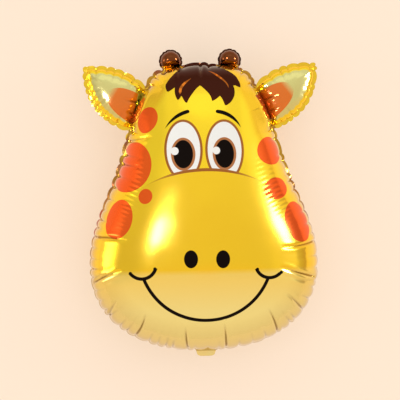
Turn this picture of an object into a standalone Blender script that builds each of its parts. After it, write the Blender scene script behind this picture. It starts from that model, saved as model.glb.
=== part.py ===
"""Foil balloon in the shape of a giraffe's head, blown up and lying on its back, face up.

Metres, +Z up. +Y runs to the top of the head and +X to the viewer's right of the face. The origin is on the
surface that the balloon lies on, under the middle of its box. The balloon is two printed film sheets welded
together along their rim: one closed skin full of air, modelled as one solid.
"""

import math

import bmesh
import bpy
import numpy as np
from mathutils import Vector
from mathutils.geometry import delaunay_2d_cdt

# Rim of the blown-up balloon, right half, seen from the front. Heights along the head run from the middle.
NECK_END = -0.350
CHIN = -0.338
CHEEK_WIDEST = -0.138
EYE_LEVEL = 0.110
EAR_FOOT = 0.164
EAR_HEAD = 0.271
CROWN = 0.321
HORN_CENTRE = 0.323

CHEEK_HALF_WIDTH = 0.261
EYE_HALF_WIDTH = 0.186
EAR_FOOT_HALF_WIDTH = 0.170
EAR_HEAD_HALF_WIDTH = 0.126
NECK_HALF_WIDTH = 0.022
HORN_OFFSET = 0.067
HORN_RADIUS = 0.027

EAR_TIP_OUT = 0.268
EAR_TIP_HEIGHT = 0.304
EAR_TIP_RADIUS = 0.020
EAR_UPPER_BULGE = 0.014
EAR_LOWER_BULGE = 0.026
CHIN_FULLNESS = 2.25

# Depth of the puffed forms, from the weld plane to the front, and the same to the back
HEAD_DEPTH = 0.142
EAR_DEPTH = 0.026
HORN_DEPTH = 0.026
WEB_DEPTH = 0.0035
PUFF_POWER = 0.42
FLAT_SPOT_CUT = 0.004

# Weld flange round the rim, and the puckers that the film gathers into: between two creases a lobe
# stands out over the weld
FLANGE_WIDTH = 0.009
HORN_FLANGE_WIDTH = 0.004
FLANGE_THICKNESS = 0.0016
PUCKER_PITCH = 0.022
PUCKER_IN = 0.0040
PUCKER_REACH = 0.016
PUCKER_DEPTH = 0.24
LOBE_OUT = 0.0045
LOBE_REACH = 0.012
FOLD_WIDTH = 0.013
FOLD_DEPTH = 0.011
FOLD_STEEP_REACH = 0.020

# Long folds that run in from the rim: where on it each starts, its heading in degrees (0 to the right,
# 90 up the head) and its length
FOLDS = [
    (-0.180, 0.142, 8, 0.050),
    (-0.196, 0.088, 356, 0.045),
    (-0.248, -0.077, 353, 0.066),
    (-0.256, -0.178, 18, 0.064),
    (-0.222, -0.256, 58, 0.050),
    (-0.159, -0.300, 70, 0.060),
    (-0.041, -0.335, 92, 0.056),
    (0.046, -0.335, 90, 0.062),
    (0.165, -0.298, 112, 0.058),
    (0.218, -0.243, 133, 0.048),
    (0.248, -0.166, 170, 0.066),
    (0.246, -0.088, 192, 0.068),
]

# Spacing of the mesh's points: along the rim, in rings on the steep wall by the weld (distance in from
# it, and rim points to each ring point), and over the smooth middle
POINTS_PER_PUCKER = 4
RINGS = [(0.0009, 2), (0.0045, 2), (0.0115, 2), (0.0225, 4)]
LINE_SPACING = 0.0075
HEAD_SPACING = 0.0200
EAR_SPACING = 0.0095

FOIL_COLOUR = (0.93, 0.66, 0.07, 1.0)
FOIL_ROUGHNESS = 0.22
FOIL_METALLIC = 0.85


def clear_scene():
    for item in list(bpy.data.objects):
        bpy.data.objects.remove(item)


def bezier(start, first, second, end, count):
    """Points of a cubic curve, without its end."""
    t = np.linspace(0.0, 1.0, count, endpoint=False)[:, None]
    a, b, c, d = (np.array(p) for p in (start, first, second, end))
    return a * (1 - t) ** 3 + 3 * b * t * (1 - t) ** 2 + 3 * c * t**2 * (1 - t) + d * t**3


def bowed(start, end, bulge, count):
    """Points of a curve from start to end that bows out to the left of its way by bulge."""
    a, b = np.array(start), np.array(end)
    way = b - a
    out = np.array([-way[1], way[0]]) / np.linalg.norm(way)
    lift = out * bulge * 4 / 3
    return bezier(a, a + way / 3 + lift, a + way * 2 / 3 + lift, b, count)


def horn_stretch():
    """The round edge of the right horn, from its inner foot to its outer one."""
    angles = np.radians(np.linspace(200, -40, 30, endpoint=False))
    x = HORN_OFFSET + HORN_RADIUS * np.cos(angles)
    y = HORN_CENTRE + HORN_RADIUS * np.sin(angles)
    return np.column_stack([x, y])


def ear_stretch():
    """The edge of the right ear: along its top, round its tip and back along its lower side."""
    head = (EAR_HEAD_HALF_WIDTH, EAR_HEAD)
    foot = (EAR_FOOT_HALF_WIDTH, EAR_FOOT)
    top_end = (EAR_TIP_OUT - EAR_TIP_RADIUS, EAR_TIP_HEIGHT + EAR_TIP_RADIUS * 0.6)
    low_start = (EAR_TIP_OUT, EAR_TIP_HEIGHT - EAR_TIP_RADIUS * 0.6)
    top = bowed(head, top_end, EAR_UPPER_BULGE, 30)
    corner = (EAR_TIP_OUT, top_end[1])
    tip = bezier(top_end, corner, corner, low_start, 12)
    low = bowed(low_start, foot, EAR_LOWER_BULGE, 36)
    return np.vstack([top, tip, low])


def cheek_stretch():
    """From the ear's foot down past the eyes to the widest part of the cheek."""
    foot = (EAR_FOOT_HALF_WIDTH, EAR_FOOT)
    eye = (EYE_HALF_WIDTH, EYE_LEVEL)
    wide = (CHEEK_HALF_WIDTH, CHEEK_WIDEST)
    down = EYE_LEVEL - CHEEK_WIDEST
    lean = (EYE_HALF_WIDTH - EAR_FOOT_HALF_WIDTH) / (EAR_FOOT - EYE_LEVEL)
    upper = bezier(foot, foot, (eye[0] - lean * 0.02, eye[1] + 0.02), eye, 10)
    below_eye = (eye[0] + lean * down * 0.4, eye[1] - down * 0.4)
    above_wide = (wide[0], wide[1] + down * 0.36)
    return np.vstack([upper, bezier(eye, below_eye, above_wide, wide, 40)])


def chin_stretch():
    """A full round quarter from the cheek to the middle of the chin."""
    turn = np.linspace(0, 0.5 * math.pi, 60, endpoint=False)
    power = 2 / CHIN_FULLNESS
    x = CHEEK_HALF_WIDTH * np.cos(turn) ** power
    y = CHEEK_WIDEST - (CHEEK_WIDEST - CHIN) * np.sin(turn) ** power
    return np.column_stack([x, y])


def rim_outline():
    """The whole rim, clockwise from the crown, as closely spaced points."""
    horn = horn_stretch()
    crown = bezier((0, CROWN), (HORN_OFFSET * 0.3, CROWN), horn[0], horn[0], 10)
    shoulder = bowed(horn[-1], (EAR_HEAD_HALF_WIDTH, EAR_HEAD), EAR_UPPER_BULGE / 2, 12)
    half = np.vstack([crown, horn, shoulder, ear_stretch(), cheek_stretch(), chin_stretch()])
    bottom = np.array([[0, CHIN]])
    other = half[1:][::-1] * [-1, 1]
    return np.vstack([half, bottom, other])


def with_neck(rim):
    """The rim with the flat filling neck standing out below the chin."""
    share = np.clip(np.abs(rim[:, 0]) / NECK_HALF_WIDTH, 0, 1)
    lowest = CHIN + (NECK_END - CHIN) * np.sqrt(1 - share**6)
    under = (share < 1) & (rim[:, 1] < CHEEK_WIDEST)
    return np.column_stack([rim[:, 0], np.where(under, np.minimum(rim[:, 1], lowest), rim[:, 1])])


def evenly(outline, count):
    """The closed outline as count points at even steps."""
    closed = np.vstack([outline, outline[:1]])
    steps = np.linalg.norm(np.diff(closed, axis=0), axis=1)
    along = np.concatenate([[0], np.cumsum(steps)])
    want = np.linspace(0, along[-1], count, endpoint=False)
    return np.column_stack([np.interp(want, along, closed[:, k]) for k in (0, 1)])


def length_of(outline):
    return np.linalg.norm(np.roll(outline, -1, 0) - outline, axis=1).sum()


def outward(outline):
    """Unit directions that point out of a clockwise outline."""
    way = np.roll(outline, -1, 0) - np.roll(outline, 1, 0)
    way /= np.linalg.norm(way, axis=1)[:, None]
    return np.column_stack([-way[:, 1], way[:, 0]])


def straight(start, end, spacing):
    """Points at even steps from start to end."""
    a, b = np.array(start), np.array(end)
    count = max(2, round(np.linalg.norm(b - a) / spacing))
    return a + (b - a) * np.linspace(0, 1, count + 1)[:, None]


def nearest(points, line, closed=True):
    """For each point, the distance to a line of points, the distance along the line to the nearest place
    on it, and that place."""
    starts = line if closed else line[:-1]
    ways = np.roll(line, -1, 0) - line if closed else np.diff(line, axis=0)
    lengths = np.linalg.norm(ways, axis=1)
    begun = np.concatenate([[0], np.cumsum(lengths)[:-1]])
    off = points[:, None] - starts[None]
    share = np.clip((off * ways).sum(2) / np.maximum(lengths**2, 1e-18), 0, 1)
    gaps = np.linalg.norm(off - share[..., None] * ways, axis=2)
    best = gaps.argmin(1)
    row = np.arange(len(points))
    along = begun[best] + share[row, best] * lengths[best]
    return gaps[row, best], along, starts[best] + share[row, best][:, None] * ways[best]


def is_inside(points, outline):
    """Which points lie within the closed outline."""
    x, y = points[:, 0], points[:, 1]
    found = np.zeros(len(points), bool)
    for a, b in zip(outline, np.roll(outline, -1, 0)):
        crosses = (a[1] > y) != (b[1] > y)
        at = a[0] + (y - a[1]) * (b[0] - a[0]) / (b[1] - a[1] + 1e-30)
        found ^= crosses & (x < at)
    return found


def beyond(points, start, end):
    """Which points, taken to the right half, lie outside the line from start to end."""
    way = np.array(end) - start
    off = np.column_stack([np.abs(points[:, 0]), points[:, 1]]) - start
    return way[0] * off[:, 1] - way[1] * off[:, 0] > -1e-7


def in_ears(points):
    foot = (EAR_FOOT_HALF_WIDTH, EAR_FOOT)
    head = (EAR_HEAD_HALF_WIDTH, EAR_HEAD)
    return beyond(points, head, foot) & (points[:, 1] > EAR_FOOT - FLANGE_WIDTH)


def in_horns(points):
    horn = horn_stretch()
    across = np.abs(np.abs(points[:, 0]) - HORN_OFFSET) < HORN_RADIUS * 1.02
    return beyond(points, horn[0], horn[-1]) & across & ~in_ears(points)


def base_welds(weld):
    """The welded lines across the feet of the ears and horns, as far as the weld of the rim."""
    horn = horn_stretch()
    head = (EAR_HEAD_HALF_WIDTH, EAR_HEAD)
    foot = (EAR_FOOT_HALF_WIDTH, EAR_FOOT)
    lines = []
    for start, end in ((head, foot), (horn[0], horn[-1])):
        line = straight(start, end, LINE_SPACING)
        line = line[is_inside(line, weld[weld[:, 0] > -HORN_OFFSET / 4])]
        line = line[nearest(line, weld)[0] > LINE_SPACING * 0.4]
        lines += [line, line * [-1, 1]]
    return lines


def fold_lines(weld):
    """The long folds, each as points from the weld inwards."""
    lines = []
    for across, up, heading, length in FOLDS:
        start = weld[np.linalg.norm(weld - (across, up), axis=1).argmin()]
        turn = math.radians(heading)
        end = start + length * np.array([math.cos(turn), math.sin(turn)])
        lines.append(straight(start, end, LINE_SPACING)[1:])
    return lines


def lattice(weld, spacing):
    """An even lattice of points over the film, the same on both sides of its middle."""
    low, high = weld.min(0), weld.max(0)
    rows = np.arange(low[1], high[1], spacing * math.sqrt(0.75))
    columns = np.arange(0, high[0], spacing)
    odd = columns + spacing / 2
    sides = [np.concatenate([-half[::-1], half[half > 0]]) for half in (columns, odd)]
    return np.array([(x, y) for k, y in enumerate(rows) for x in sides[k % 2]])


def film_points(weld, welds, folds):
    """Points over the film within the weld: rings on the steep wall, then lattices on the rounder part,
    the fine one on the ears and horns and by their feet."""
    kept = np.empty((0, 2))
    out = outward(weld)
    groups = []
    for k, (inward, sparse) in enumerate(RINGS):
        ring = (weld - out * inward)[:: max(1, sparse)]
        before = RINGS[k - 1][0] if k else 0
        groups.append((ring, (inward - before) * 0.7, inward * 0.9))
    last = RINGS[-1][0]
    fine = lattice(weld, EAR_SPACING)
    by_foot = np.min([nearest(fine, line, False)[0] for line in welds], axis=0) < HEAD_SPACING
    fine = fine[in_ears(fine) | in_horns(fine) | by_foot]
    groups.append((fine, EAR_SPACING * 0.72, EAR_SPACING * 0.6))
    coarse = lattice(weld, HEAD_SPACING)
    coarse = coarse[~in_ears(coarse) & ~in_horns(coarse)]
    groups.append((coarse, HEAD_SPACING * 0.72, last))
    for group, apart, clear in groups:
        group = group[is_inside(group, weld)]
        group = group[nearest(group, weld)[0] > min(clear, last)]
        for line in welds + folds:
            group = group[nearest(group, line, False)[0] > min(apart, LINE_SPACING * 0.8)]
        if len(kept):
            gaps = np.linalg.norm(group[:, None] - kept[None], axis=2).min(1)
            group = group[gaps > apart]
        kept = np.vstack([kept, group])
    return kept


def triangulate(rim, weld, lines, inner):
    """Triangles over the film, corners anticlockwise, with edges along the weld and the lines."""
    count = len(rim)
    edges = [(k, (k + 1) % count) for k in range(count)]
    edges += [(count + k, count + (k + 1) % count) for k in range(count)]
    first = 2 * count
    for line in lines:
        edges += [(first + k, first + k + 1) for k in range(len(line) - 1)]
        first += len(line)
    points = [Vector(p) for p in np.vstack([rim, weld, *lines, inner])]
    verts, _, faces, *_ = delaunay_2d_cdt(points, edges, [list(range(count))], 1, 1e-5)
    flat = np.array([(v.x, v.y) for v in verts])
    corners = np.array(faces)
    a, b, c = (flat[corners[:, k]] for k in range(3))
    turned = (b[:, 0] - a[:, 0]) * (c[:, 1] - a[:, 1]) < (b[:, 1] - a[:, 1]) * (c[:, 0] - a[:, 0])
    corners[turned] = corners[turned][:, ::-1]
    return flat, corners


def film_lift(flat, corners, held):
    """How far an even pressure lifts a film that is held at some points, by linear finite elements."""
    p = flat[corners]
    along, across = p[:, 1] - p[:, 0], p[:, 2] - p[:, 0]
    area = 0.5 * (along[:, 0] * across[:, 1] - along[:, 1] * across[:, 0])
    rows, columns, weights = [], [], []
    load = np.zeros(len(flat))
    for k in range(3):
        i, j, opposite = corners[:, k], corners[:, (k + 1) % 3], corners[:, (k + 2) % 3]
        to_i = flat[i] - flat[opposite]
        to_j = flat[j] - flat[opposite]
        half_cotangent = (to_i * to_j).sum(1) / np.maximum(4 * area, 1e-12)
        rows += [i, j]
        columns += [j, i]
        weights += [half_cotangent, half_cotangent]
        load += np.bincount(i, area / 3, len(flat))
    rows, columns, weights = (np.concatenate(part) for part in (rows, columns, weights))
    diagonal = np.bincount(rows, weights, len(flat))
    free = ~held
    lift = np.zeros(len(flat))
    left = np.where(free, load, 0)
    way = left.copy()
    size = left @ left
    goal = 1e-18 * size
    while size > goal:
        pushed = np.where(free, diagonal * way - np.bincount(rows, weights * way[columns], len(flat)), 0)
        step = size / (way @ pushed)
        lift += step * way
        left -= step * pushed
        before, size = size, left @ left
        way = left + way * size / before
    return np.maximum(lift, 0)


def puffed(flat, lift):
    """Height of the film over the weld plane: a full round puff for the head, each ear and each horn."""
    skin = FLANGE_THICKNESS / 2
    height = np.full(len(flat), skin)
    ears, horns = in_ears(flat), in_horns(flat)
    for area, depth in ((ears, EAR_DEPTH), (horns, HORN_DEPTH), (~ears & ~horns, HEAD_DEPTH)):
        share = lift[area] / lift[area].max()
        height[area] += (depth - skin) * share**PUFF_POWER
    return height


def crease_share(along):
    """1 in a crease of the rim, 0 on the round lobe between two creases."""
    return 1 - np.abs(np.sin(math.pi * along / PUCKER_PITCH)) ** 0.7


def creased(flat, height, even, folds):
    """The film's points with the rim's puckers and the long folds pressed in, as x, y and height."""
    from_rim, along, place = nearest(flat, even)
    inward = np.clip(from_rim - FLANGE_WIDTH, 0, None)
    skin = FLANGE_THICKNESS / 2
    crease = crease_share(along)
    pressed = PUCKER_DEPTH * crease * np.exp(-((inward / PUCKER_REACH) ** 2))
    height = skin + (height - skin) * (1 - pressed)
    sunk = np.zeros(len(flat))
    for line in folds:
        gap, so_far, _ = nearest(flat, line, False)
        taper = 1 - so_far / np.linalg.norm(line[-1] - line[0])
        sunk = np.maximum(sunk, FOLD_DEPTH * taper * np.clip(1 - gap / FOLD_WIDTH, 0, 1))
    height = np.maximum(height - sunk, np.minimum(height, skin))
    lobe = LOBE_OUT * (1 - crease) * np.exp(-((inward / LOBE_REACH) ** 2))
    outwards = (place - flat) / np.maximum(from_rim, 1e-9)[:, None]
    steep = np.exp(-inward / FOLD_STEEP_REACH)
    return height, outwards * (lobe - sunk * steep)[:, None]


def build_balloon():
    """One closed body: the front film, the flange's edge and the back film."""
    outline = rim_outline()
    lobes = round(length_of(outline) / PUCKER_PITCH)
    even = evenly(outline, lobes * POINTS_PER_PUCKER)
    crease = crease_share(np.arange(len(even)) * PUCKER_PITCH / POINTS_PER_PUCKER)
    out = outward(even)
    flange = np.where(in_horns(even), HORN_FLANGE_WIDTH, FLANGE_WIDTH)
    rim = with_neck(even - out * (PUCKER_IN * crease)[:, None])
    weld = even - out * (flange + PUCKER_IN * crease / 2)[:, None]
    welds = base_welds(weld)
    folds = fold_lines(weld)
    inner = film_points(weld, welds, folds)
    flat, corners = triangulate(rim, weld, welds + folds, inner)
    on_line = np.zeros(len(flat), bool)
    for line in welds:
        on_line |= nearest(flat, line, False)[0] < 1e-4
    on_flange = (nearest(flat, weld)[0] < 1e-4) | ~is_inside(flat, weld)
    lift = film_lift(flat, corners, on_line | on_flange)
    height, shift = creased(flat, puffed(flat, lift), even, folds)
    height = np.where(on_line, WEB_DEPTH, height)
    height = np.where(on_flange, FLANGE_THICKNESS / 2, height)
    still = on_flange | on_line | in_ears(flat) | in_horns(flat)
    return closed_skin(flat + np.where(still[:, None], 0, shift), height, corners)


def closed_skin(flat, height, corners):
    """The front and the back of the film over the same triangles, joined round the edge."""
    weld_plane = HEAD_DEPTH - FLAT_SPOT_CUT
    mesh = bmesh.new()
    front = [mesh.verts.new((x, y, weld_plane + z)) for (x, y), z in zip(flat, height)]
    back = [mesh.verts.new((x, y, max(weld_plane - z, 0))) for (x, y), z in zip(flat, height)]
    sides = set()
    for a, b, c in corners.tolist():
        mesh.faces.new((front[a], front[b], front[c]))
        mesh.faces.new((back[c], back[b], back[a]))
        sides |= {(a, b), (b, c), (c, a)}
    for a, b in sorted(sides):
        if (b, a) not in sides:
            mesh.faces.new((front[b], front[a], back[a], back[b]))
    return mesh


def foil_material():
    material = bpy.data.materials.new("printed_foil")
    material.use_nodes = True
    shader = material.node_tree.nodes["Principled BSDF"]
    shader.inputs["Base Color"].default_value = FOIL_COLOUR
    shader.inputs["Roughness"].default_value = FOIL_ROUGHNESS
    shader.inputs["Metallic"].default_value = FOIL_METALLIC
    return material


def main():
    clear_scene()
    body = build_balloon()
    data = bpy.data.meshes.new("foil_balloon")
    body.to_mesh(data)
    body.free()
    data.materials.append(foil_material())
    data.shade_smooth()
    data.set_sharp_from_angle(angle=math.radians(50))
    balloon = bpy.data.objects.new("foil_balloon", data)
    bpy.context.scene.collection.objects.link(balloon)


main()
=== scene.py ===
"""Looks of the giraffe head foil balloon: its puckered film, printed inks, floor, light and camera.

Metres, +Z up, the balloon lying on its back with its face up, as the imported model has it. Pixel coordinates
are those of the 400 x 400 photograph.
"""

import math

import bpy
import numpy as np
from mathutils import Matrix, Vector
from mathutils.bvhtree import BVHTree
from mathutils.geometry import delaunay_2d_cdt


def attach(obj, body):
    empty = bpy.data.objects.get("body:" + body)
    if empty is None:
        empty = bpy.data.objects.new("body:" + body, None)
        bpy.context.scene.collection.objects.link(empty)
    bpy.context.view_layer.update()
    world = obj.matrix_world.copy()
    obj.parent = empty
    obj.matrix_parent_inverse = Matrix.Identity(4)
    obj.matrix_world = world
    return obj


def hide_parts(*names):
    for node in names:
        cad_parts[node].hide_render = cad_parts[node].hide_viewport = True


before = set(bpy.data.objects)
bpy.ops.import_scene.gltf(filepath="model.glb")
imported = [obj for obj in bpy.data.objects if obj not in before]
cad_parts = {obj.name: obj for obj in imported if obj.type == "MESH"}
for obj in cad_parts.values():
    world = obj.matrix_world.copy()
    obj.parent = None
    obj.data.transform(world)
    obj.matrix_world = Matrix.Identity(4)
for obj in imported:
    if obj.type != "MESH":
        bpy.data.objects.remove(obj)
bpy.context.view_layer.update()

# Rim of the blown-up balloon, right half, as in the CAD model
CHIN = -0.338
NECK_END = -0.350
CHEEK_WIDEST = -0.138
EYE_LEVEL = 0.110
EAR_FOOT = 0.164
EAR_HEAD = 0.271
CROWN = 0.321
HORN_CENTRE = 0.323
CHEEK_HALF_WIDTH = 0.261
EYE_HALF_WIDTH = 0.186
EAR_FOOT_HALF_WIDTH = 0.170
EAR_HEAD_HALF_WIDTH = 0.126
NECK_HALF_WIDTH = 0.022
HORN_OFFSET = 0.067
HORN_RADIUS = 0.027
EAR_TIP_OUT = 0.268
EAR_TIP_HEIGHT = 0.304
EAR_TIP_RADIUS = 0.020
EAR_UPPER_BULGE = 0.014
EAR_LOWER_BULGE = 0.026
CHIN_FULLNESS = 2.25
EAR_FOOT_AT = (EAR_FOOT_HALF_WIDTH, EAR_FOOT)
EAR_HEAD_AT = (EAR_HEAD_HALF_WIDTH, EAR_HEAD)

# Depths of the puffed forms, from the weld plane to the front
HEAD_DEPTH = 0.142
EAR_DEPTH = 0.026
HORN_DEPTH = 0.026
WEB_DEPTH = 0.0020
PUFF_POWER = 0.42
WELD_PLANE = 0.138

# The flange and the puckers of the film
FLANGE_WIDTH = 0.0085
HORN_FLANGE_WIDTH = 0.0038
FILM_HALF_THICKNESS = 0.00018
PUCKER_PITCH = 0.0245
EAR_PITCH = 0.0185
HORN_PITCH = 0.0125
PUCKER_IN = 0.0042
PUCKER_DEPTH = 0.0048
PUCKER_WIDTH = 0.0021
PUCKER_RISE = 0.005
PUCKER_REACH = 0.085
LOBE_OUT = 0.0022
FLANGE_CURL = 0.0026
FLANGE_BEND = math.radians(64)
BEND_FROM = 0.17
BEND_FULL = -0.08
RIB_DEPTH = 0.0005
RIB_LENGTH = 0.0050
RIB_PLACE = 0.052
RIB_SPREAD = 0.017
RIB_LEVEL = 0.020
RIB_LEVEL_SPREAD = 0.066
RIB_FREE_MIDDLE = 0.07
SWELL = 0.0006
SWELL_LENGTH = 0.045
NECK_CURL = 0.3

# How much the puckers differ in their steps, depths and reaches
PITCH_RANGE = (0.78, 1.22)
DEPTH_RANGE = (0.55, 1.3)
REACH_RANGE = (0.6, 1.45)

# The ears' closer puckers: how far out they begin, and how far below the tip they end
EAR_PITCH_FROM = 0.18
EAR_PITCH_END = 0.005

# Shares of the head's puckers that the ears and horns have
EAR_REACH = 0.42
HORN_REACH = 0.2
EAR_PUCKERS = 0.45
HORN_PUCKERS = 0.3
HORN_PULL = 0.35
HORN_CURL = 0.5

# How fast creases and lobes fade inwards, how round the lobes, gathers and folds' ends are, the level that a
# lobe swells from, and the width of the line of painted shade along a crease
CREASE_FADE = 1.3
LOBE_FADE = 1.5
ROUNDNESS = 0.6
LOBE_LEVEL = 0.35
CREASE_LINE = 0.0010

# Long folds: the groove, the banks beside it (height, place and width), and where the fold is whole and where
# painted shade darkens it
FOLD_WIDTH = 0.0022
FOLD_SHARE = 1.3
FOLD_BANKS = (0.40, 0.0075, 0.0040)
FOLD_WHOLE = 0.008
FOLD_DARK_END = 0.85
FOLD_DARK_FADE = 0.4
DARK_FOLD_DEPTH = 0.0040
FOLD_NEAR_RIM = 0.03

# Gathers along the welds of the ears and horns
GATHER_PITCH = 0.0125
GATHER_DEPTH = 0.0008
GATHER_REACH = 0.011
GATHER_START = 0.002

# The low ridge and hollow beside each ear's foot: height, place and width
EAR_RIDGE = (0.0018, 0.014, 0.008)
EAR_HOLLOW = (0.0009, 0.034, 0.011)

# Spacing of the mesh: rings inwards from the weld, of which those on the first, steepest stretch are
# laid between the weld and the first ring of the flat mesh, and a lattice over the rest
STEEP_SHARES = [0.06, 0.2, 0.5]
RINGS = [0.0007, 0.0014, 0.0024, 0.0038, 0.0056, 0.0079, 0.0107, 0.0140, 0.0178, 0.0220]
RIM_SHARES = [0.0, 0.05, 0.12, 0.22, 0.35, 0.5, 0.65, 0.78, 0.88, 0.95]
LATTICE = 0.0042
FINE_LATTICE = 0.0019
LINE_STEP = 0.0024
RING_APART = 0.0014
LINE_SIDES = (0.0016, -0.0016, 0.0040, -0.0040)
SIDE_APART = 0.0011
EAR_FINE_REACH = 0.046
# Rows of the flange, from the rim inwards, as shares of its width
FLANGE_ROWS = (1.0, 0.7, 0.35)

# The photograph: its scale, its camera, and the pixel over the origin
PIXEL = 0.70 / 307
ORIGIN_PIXEL = (202.93, 202.5)
CAMERA_DISTANCE = 3.0
CAMERA_ROLL = math.radians(1.18)
CAMERA_YAW = math.radians(2.4)
PHOTO_SIZE = 400

rng = np.random.default_rng(7)


# Camera

def camera_axes():
    """The camera's right, up and backward directions."""
    back = Vector((-math.sin(CAMERA_YAW), 0, math.cos(CAMERA_YAW)))
    up = Vector((math.sin(CAMERA_ROLL), math.cos(CAMERA_ROLL), 0))
    right = up.cross(back).normalized()
    return right, back.cross(right), back


def seam_point(px, py):
    """The point of the weld plane seen at a pixel, near enough for the small yaw."""
    right, up, _ = camera_axes()
    off = right * (px - ORIGIN_PIXEL[0]) - up * (py - ORIGIN_PIXEL[1])
    return Vector((off.x, off.y, 0)) * PIXEL + Vector((0, 0, WELD_PLANE))


def camera_place():
    _, _, back = camera_axes()
    return seam_point(PHOTO_SIZE / 2, PHOTO_SIZE / 2) + back * CAMERA_DISTANCE


def solid_surface():
    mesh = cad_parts["foil_balloon"].data
    corners = [v.co for v in mesh.vertices]
    return BVHTree.FromPolygons(corners, [p.vertices for p in mesh.polygons])


SURFACE = solid_surface()


def on_film(px, py):
    """The place on the solid's front that the photograph shows at a pixel."""
    eye = camera_place()
    way = (seam_point(px, py) - eye).normalized()
    place, _, _, _ = SURFACE.ray_cast(eye, way)
    return seam_point(px, py) if place is None else place


def plan(px, py):
    place = on_film(px, py)
    return np.array([place.x, place.y])


# Outline

def bezier(start, first, second, end, count):
    t = np.linspace(0.0, 1.0, count, endpoint=False)[:, None]
    a, b, c, d = (np.array(p) for p in (start, first, second, end))
    return a * (1 - t) ** 3 + 3 * b * t * (1 - t) ** 2 + 3 * c * t**2 * (1 - t) + d * t**3


def bowed(start, end, bulge, count):
    a, b = np.array(start), np.array(end)
    way = b - a
    out = np.array([-way[1], way[0]]) / np.linalg.norm(way)
    lift = out * bulge * 4 / 3
    return bezier(a, a + way / 3 + lift, a + way * 2 / 3 + lift, b, count)


def horn_stretch():
    angles = np.radians(np.linspace(200, -40, 60, endpoint=False))
    x = HORN_OFFSET + HORN_RADIUS * np.cos(angles)
    y = HORN_CENTRE + HORN_RADIUS * np.sin(angles)
    return np.column_stack([x, y])


def ear_stretch():
    top_end = (EAR_TIP_OUT - EAR_TIP_RADIUS, EAR_TIP_HEIGHT + EAR_TIP_RADIUS * 0.6)
    low_start = (EAR_TIP_OUT, EAR_TIP_HEIGHT - EAR_TIP_RADIUS * 0.6)
    corner = (EAR_TIP_OUT, top_end[1])
    top = bowed(EAR_HEAD_AT, top_end, EAR_UPPER_BULGE, 60)
    tip = bezier(top_end, corner, corner, low_start, 24)
    low = bowed(low_start, EAR_FOOT_AT, EAR_LOWER_BULGE, 70)
    return np.vstack([top, tip, low])


def cheek_stretch():
    foot = EAR_FOOT_AT
    eye = (EYE_HALF_WIDTH, EYE_LEVEL)
    wide = (CHEEK_HALF_WIDTH, CHEEK_WIDEST)
    down = EYE_LEVEL - CHEEK_WIDEST
    lean = (EYE_HALF_WIDTH - EAR_FOOT_HALF_WIDTH) / (EAR_FOOT - EYE_LEVEL)
    upper = bezier(foot, foot, (eye[0] - lean * 0.02, eye[1] + 0.02), eye, 20)
    below_eye = (eye[0] + lean * down * 0.4, eye[1] - down * 0.4)
    above_wide = (wide[0], wide[1] + down * 0.36)
    return np.vstack([upper, bezier(eye, below_eye, above_wide, wide, 80)])


def chin_stretch():
    turn = np.linspace(0, 0.5 * math.pi, 120, endpoint=False)
    power = 2 / CHIN_FULLNESS
    x = CHEEK_HALF_WIDTH * np.cos(turn) ** power
    y = CHEEK_WIDEST - (CHEEK_WIDEST - CHIN) * np.sin(turn) ** power
    return np.column_stack([x, y])


def rim_outline():
    """The whole rim, clockwise from the crown."""
    horn = horn_stretch()
    crown = bezier((0, CROWN), (HORN_OFFSET * 0.3, CROWN), horn[0], horn[0], 20)
    shoulder = bowed(horn[-1], EAR_HEAD_AT, EAR_UPPER_BULGE / 2, 24)
    half = np.vstack([crown, horn, shoulder, ear_stretch(), cheek_stretch(), chin_stretch()])
    other = half[1:][::-1] * [-1, 1]
    return np.vstack([half, [[0, CHIN]], other])


def with_neck(rim):
    """The rim with the flat filling neck standing out below the chin."""
    share = np.clip(np.abs(rim[:, 0]) / NECK_HALF_WIDTH, 0, 1)
    lowest = CHIN + (NECK_END - CHIN) * np.sqrt(1 - share**6)
    under = (share < 1) & (rim[:, 1] < CHEEK_WIDEST)
    return np.column_stack([rim[:, 0], np.where(under, np.minimum(rim[:, 1], lowest), rim[:, 1])])


def run_of(outline):
    """Length of a closed outline up to each of its points and back to the first."""
    steps = np.linalg.norm(np.roll(outline, -1, 0) - outline, axis=1)
    return np.concatenate([[0], np.cumsum(steps)])


def at_places(outline, places):
    """Points of a closed outline at lengths along it."""
    closed = np.vstack([outline, outline[:1]])
    return np.column_stack([np.interp(places, run_of(outline), closed[:, k]) for k in (0, 1)])


def outward(outline):
    """Unit directions that point out of a clockwise outline, smoothed a little round sharp corners."""
    way = np.roll(outline, -2, 0) - np.roll(outline, 2, 0)
    way /= np.linalg.norm(way, axis=1)[:, None]
    return np.column_stack([-way[:, 1], way[:, 0]])


def straight(start, end, spacing):
    a, b = np.array(start), np.array(end)
    count = max(2, round(np.linalg.norm(b - a) / spacing))
    return a + (b - a) * np.linspace(0, 1, count + 1)[:, None]


def nearest(points, line, closed=True, chunk=1500):
    """For each point, its distance to a line, how far along the line it is, and the nearest place."""
    starts = line if closed else line[:-1]
    ways = np.roll(line, -1, 0) - line if closed else np.diff(line, axis=0)
    square = np.maximum((ways**2).sum(1), 1e-18)
    lengths = np.sqrt(square)
    begun = np.concatenate([[0], np.cumsum(lengths)[:-1]])
    gaps, along, places = [], [], []
    for first in range(0, len(points), chunk):
        part = points[first : first + chunk]
        off = part[:, None] - starts[None]
        share = np.clip((off * ways).sum(2) / square, 0, 1)
        far = ((off - share[..., None] * ways) ** 2).sum(2)
        best = far.argmin(1)
        row = np.arange(len(part))
        gaps.append(np.sqrt(far[row, best]))
        along.append(begun[best] + share[row, best] * lengths[best])
        places.append(starts[best] + share[row, best][:, None] * ways[best])
    return np.concatenate(gaps), np.concatenate(along), np.vstack(places)


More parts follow.
